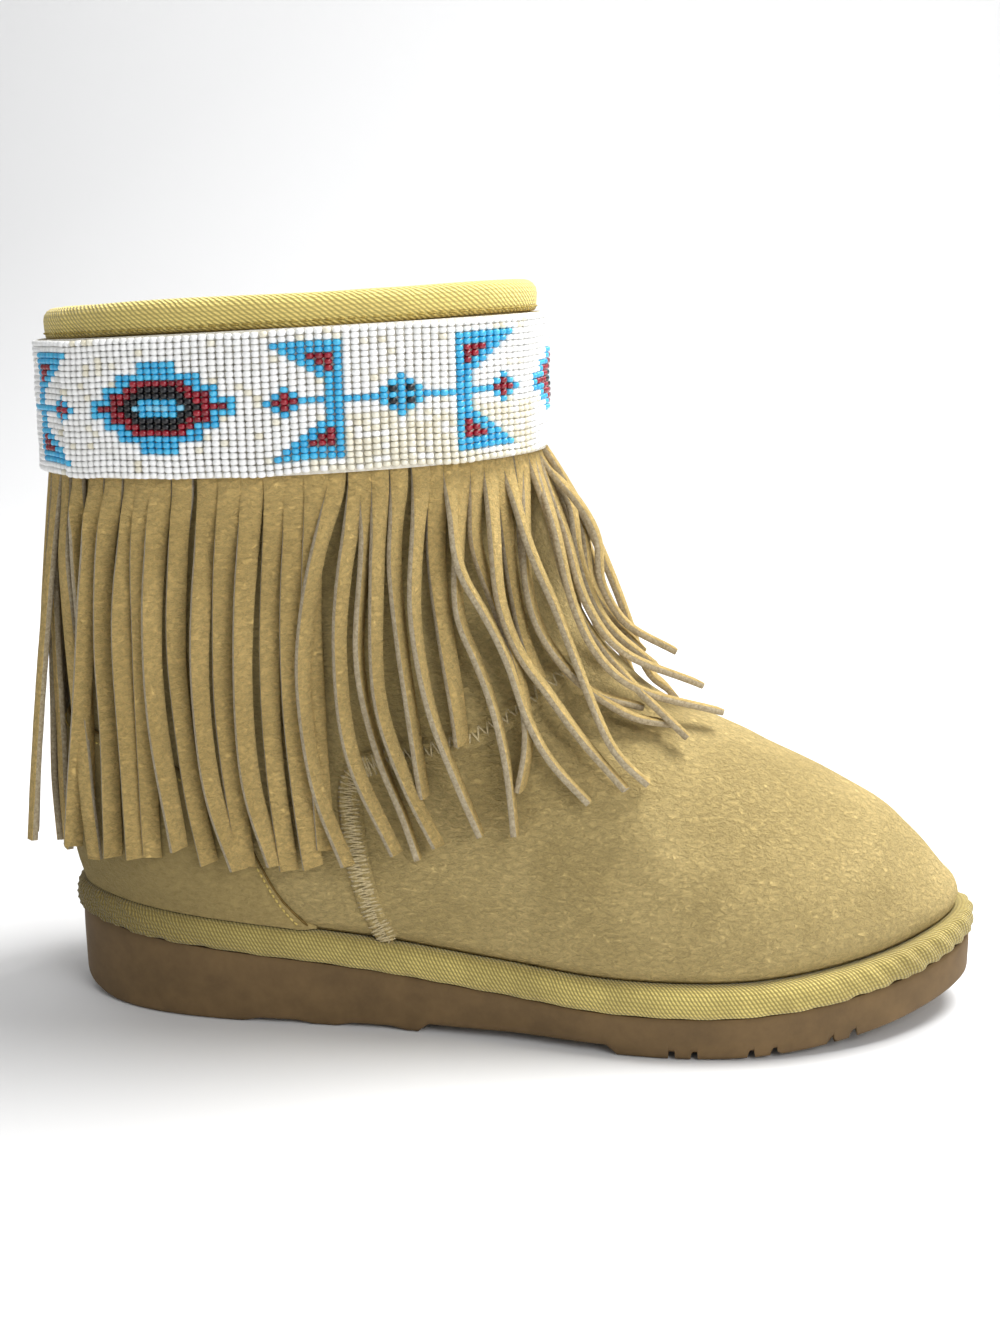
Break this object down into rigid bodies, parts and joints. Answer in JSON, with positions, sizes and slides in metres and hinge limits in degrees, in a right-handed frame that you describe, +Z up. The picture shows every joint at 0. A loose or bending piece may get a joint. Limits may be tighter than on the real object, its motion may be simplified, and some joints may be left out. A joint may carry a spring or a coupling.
{
  "type": "mukluk boot",
  "caption": "Short pull-on suede mukluk boot for the right foot with a wedge sole, taped platform, beaded collar band and long suede fringe.",
  "frame": {"origin": "on the floor, under the middle of the boot's box", "axes": "+X to the toe, +Y to the inner side of the foot, +Z up"},
  "size_m": [0.27, 0.1076, 0.2036],
  "materials": {
    "outsole_foam": "matte moulded foam rubber",
    "twill_tape": "herringbone twill",
    "footbed": "brushed fleece",
    "suede": "napped suede",
    "fringe_suede": "napped suede with cut edges",
    "seam_thread": "zigzag stitched seam",
    "glass_beads": "loom woven glass beads"
  },
  "bodies": {
    "root": {"outsole": "outsole_foam", "platform_wrap": "twill_tape", "insole": "footbed", "upper": "suede", "heel_counter": "suede", "vamp_seam": "seam_thread", "collar_binding": "twill_tape", "fringe": "fringe_suede", "beaded_band": "glass_beads"}
  },
  "joints": []
}
